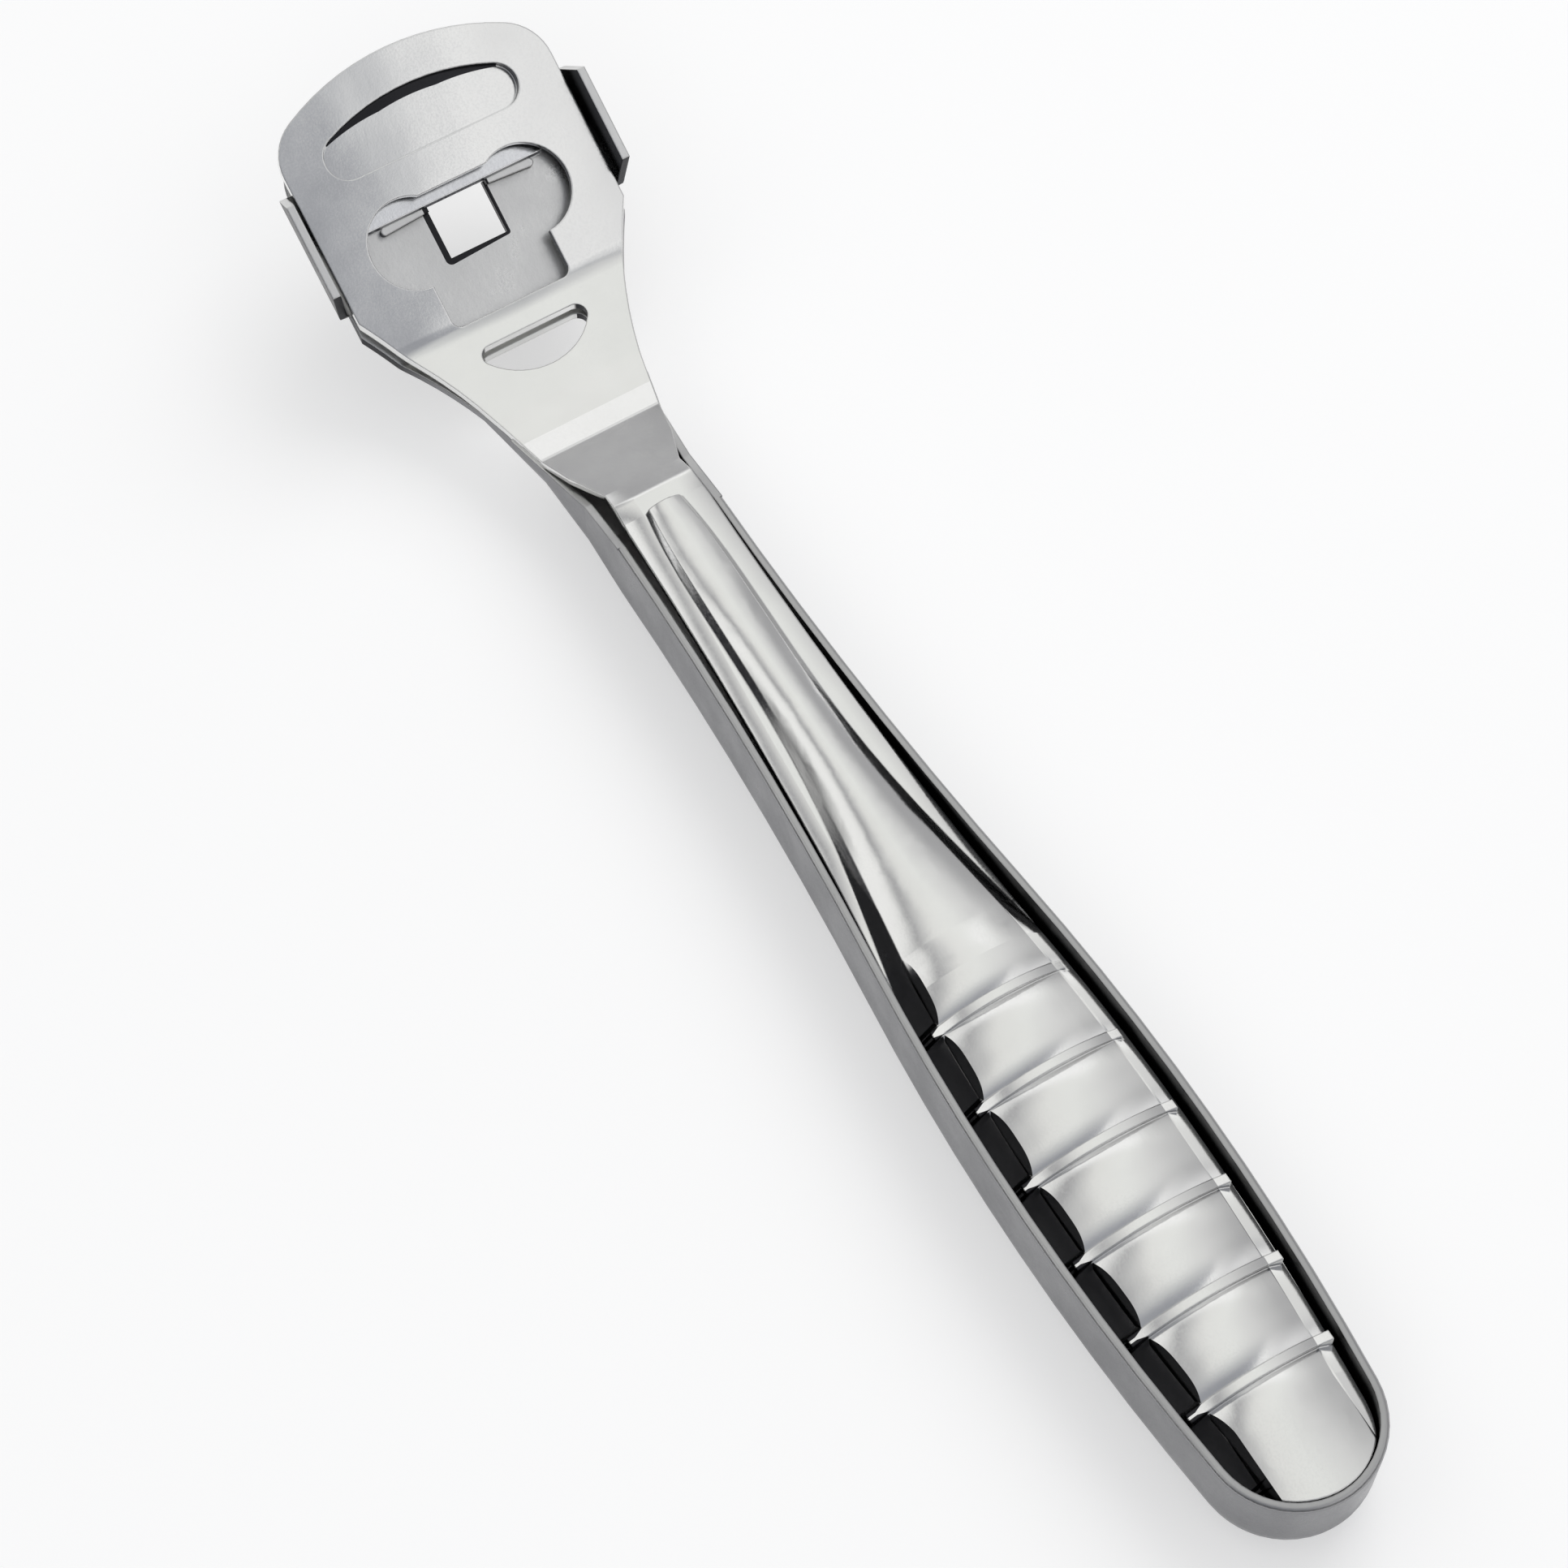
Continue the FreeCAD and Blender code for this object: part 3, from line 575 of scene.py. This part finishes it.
def add_world():
    """A sky of bright and grey fields; where a ray points decides what it meets."""
    world = bpy.data.worlds.new("studio")
    world.use_nodes = True
    tree = world.node_tree
    background = tree.nodes["Background"]
    east, north, up = split_vector(tree, "Generated")
    low = ramp(tree, spread(tree, minus(tree, north, east), -0.6, 0.9, 0.0, 1.0), LOW_SKY)
    band = total(tree, product(tree, east, BAND_EAST), product(tree, north, BAND_NORTH))
    west_sky = ramp(tree, spread(tree, band, -0.6, 0.6, 0.0, 1.0), WEST_SKY)
    glow = ramp(tree, spread(tree, band, -0.5, 0.6, 0.0, 1.0), GLOW)
    glow = product(tree, glow, spread(tree, up, 0.72, 0.8, 1.0, 0.0))
    west_sky = blend(tree, glow, west_sky, BRIGHT)
    east_sky = ramp(tree, spread(tree, band, 0.25, 0.55, 0.0, 1.0), EAST_SKY)
    high = blend(tree, spread(tree, east, -0.15, 0.2, 0.0, 1.0), west_sky, east_sky)
    colour = blend(tree, spread(tree, up, 0.38, 0.66, 0.0, 1.0), low, high)
    tree.links.new(colour, background.inputs["Color"])
    background.inputs["Strength"].default_value = 1.0
    bpy.context.scene.world = world


def add_lights():
    soft_light("key", (-0.35, 0.55, 0.75), 0.7, 3.0)
    soft_light("fill", (0.55, -0.5, 0.6), 0.6, 1.0)


def add_camera(studio):
    data = bpy.data.cameras.new("camera")
    data.sensor_width = 36.0
    data.lens = studio.lens
    data.clip_start = 0.01
    camera = add_object("camera", data)
    camera.location = studio.camera_place
    camera.rotation_euler = (math.pi / 2 - studio.elevation, 0.0, studio.azimuth)
    bpy.context.scene.camera = camera
    bpy.context.scene.view_settings.view_transform = "Standard"


# Sizes and colours

class ShaverFinish(bpy.types.PropertyGroup):
    """Looks of the three pieces."""
    cover_tint: FloatVectorProperty(
        name="Cover colour", description="Colour of the polished upper stamping",
        subtype="COLOR", size=3, min=0.0, max=1.0, default=(0.86, 0.86, 0.85))
    shell_tint: FloatVectorProperty(
        name="Shell colour", description="Colour of the satin lower stamping",
        subtype="COLOR", size=3, min=0.0, max=1.0, default=(0.8, 0.8, 0.79))
    # The wall colour and the inside colour are painted shade, put on the shell by the way its faces
    # point.
    wall_shade_tint: FloatVectorProperty(
        name="Wall colour", description="Colour of the upright walls of the shell",
        subtype="COLOR", size=3, min=0.0, max=1.0, default=(0.24, 0.24, 0.25))
    inside_shade_tint: FloatVectorProperty(
        name="Inside colour", description="Colour of the walls that face the middle",
        subtype="COLOR", size=3, min=0.0, max=1.0, default=(0.035, 0.035, 0.038))
    blade_tint: FloatVectorProperty(
        name="Blade colour", description="Colour of the ground blade strip",
        subtype="COLOR", size=3, min=0.0, max=1.0, default=(0.8, 0.81, 0.83))
    cover_rough: FloatProperty(
        name="Cover roughness", description="Roughness of the polished stamping",
        min=0.02, max=1.0, default=0.16)
    shell_rough: FloatProperty(
        name="Shell roughness", description="Roughness of the satin stamping",
        min=0.02, max=1.0, default=0.34)
    edge_radius: FloatProperty(
        name="Edge radius", description="How far sharp sheet edges are rounded",
        min=0.0, default=0.00022, unit="LENGTH", precision=5)
    field_swell: FloatProperty(
        name="Field swell", description="How far the fields between the ribs bulge",
        min=0.0, default=0.00035, unit="LENGTH", precision=5)


class ShaverStudio(bpy.types.PropertyGroup):
    """Camera and floor."""
    camera_place: FloatVectorProperty(
        name="Camera place", description="Where the camera stands",
        subtype="TRANSLATION", size=3, default=(0.14244, -0.09096, 0.32184))
    azimuth: FloatProperty(
        name="Azimuth", description="Direction that the camera looks in",
        subtype="ANGLE", default=math.radians(58.8))
    elevation: FloatProperty(
        name="Elevation", description="How far the camera looks down",
        subtype="ANGLE", default=math.radians(62.0))
    lens: FloatProperty(
        name="Lens", description="Focal length on a 36 mm sensor",
        default=91.3, unit="CAMERA")
    floor_grey: FloatProperty(
        name="Floor brightness", description="Grey of the plain floor",
        min=0.0, max=1.0, default=0.62)


# Operators

class SHAVER_OT_upper_arm(bpy.types.Operator):
    """Finish the cap, neck and ribbed cover as polished steel with painted shade at the pad, the
    head's inward walls and the rib ends
    """
    bl_idname = "shaver.upper_arm"
    bl_label = "Upper arm"

    def execute(self, context):
        look = context.scene.shaver_finish
        dress("upper_arm", steel(
            "polished_sheet_painted_shade", tuple(look.cover_tint), look.cover_rough, COVER_GRAIN, COVER_RELIEF,
            look.edge_radius, swell=look.field_swell))
        return {"FINISHED"}


class SHAVER_OT_lower_arm(bpy.types.Operator):
    """Finish the sole, ears and handle shell as satin steel with painted shade on its walls, handle
    and notch border
    """
    bl_idname = "shaver.lower_arm"
    bl_label = "Lower arm"

    def execute(self, context):
        look = context.scene.shaver_finish
        dress("lower_arm", steel(
            "satin_sheet_painted_shade", tuple(look.shell_tint), look.shell_rough, SHELL_GRAIN, SHELL_RELIEF,
            look.edge_radius, walls=(tuple(look.wall_shade_tint), tuple(look.inside_shade_tint))))
        return {"FINISHED"}


class SHAVER_OT_blade(bpy.types.Operator):
    """Finish the blade strip as ground steel and add its cutting edge"""
    bl_idname = "shaver.blade"
    bl_label = "Blade"

    def execute(self, context):
        look = context.scene.shaver_finish
        ground = steel("ground_strip", tuple(look.blade_tint), BLADE_ROUGH, BLADE_GRAIN,
                       BLADE_RELIEF, look.edge_radius * BLADE_ROUNDING)
        dress("blade", ground)
        add_cutting_edge(ground)
        return {"FINISHED"}


class SHAVER_OT_stage(bpy.types.Operator):
    """Set the floor, the sky, the lights and the camera"""
    bl_idname = "shaver.stage"
    bl_label = "Stage"

    def execute(self, context):
        studio = context.scene.shaver_studio
        add_floor(studio.floor_grey)
        add_world()
        add_lights()
        add_camera(studio)
        return {"FINISHED"}


class SHAVER_PT_panel(bpy.types.Panel):
    """Buttons for the pieces and the stage"""
    bl_label = "Callus Shaver"
    bl_idname = "SHAVER_PT_panel"
    bl_space_type = "VIEW_3D"
    bl_region_type = "UI"
    bl_category = "Callus Shaver"

    def draw(self, context):
        layout = self.layout
        for name in ("cover_tint", "shell_tint", "wall_shade_tint", "inside_shade_tint", "blade_tint",
                     "cover_rough", "shell_rough", "edge_radius", "field_swell"):
            layout.prop(context.scene.shaver_finish, name)
        for name in ("camera_place", "azimuth", "elevation", "lens", "floor_grey"):
            layout.prop(context.scene.shaver_studio, name)
        for operator in OPERATORS:
            layout.operator(operator.bl_idname)


OPERATORS = (SHAVER_OT_upper_arm, SHAVER_OT_lower_arm, SHAVER_OT_blade, SHAVER_OT_stage)
CLASSES = (ShaverFinish, ShaverStudio) + OPERATORS + (SHAVER_PT_panel,)


def register():
    for item in CLASSES:
        bpy.utils.register_class(item)
    bpy.types.Scene.shaver_finish = bpy.props.PointerProperty(type=ShaverFinish)
    bpy.types.Scene.shaver_studio = bpy.props.PointerProperty(type=ShaverStudio)


def unregister():
    del bpy.types.Scene.shaver_studio
    del bpy.types.Scene.shaver_finish
    for item in reversed(CLASSES):
        bpy.utils.unregister_class(item)


def main():
    register()
    bpy.ops.shaver.upper_arm()
    bpy.ops.shaver.lower_arm()
    bpy.ops.shaver.blade()
    bpy.ops.shaver.stage()


if __name__ == "__main__":
    main()
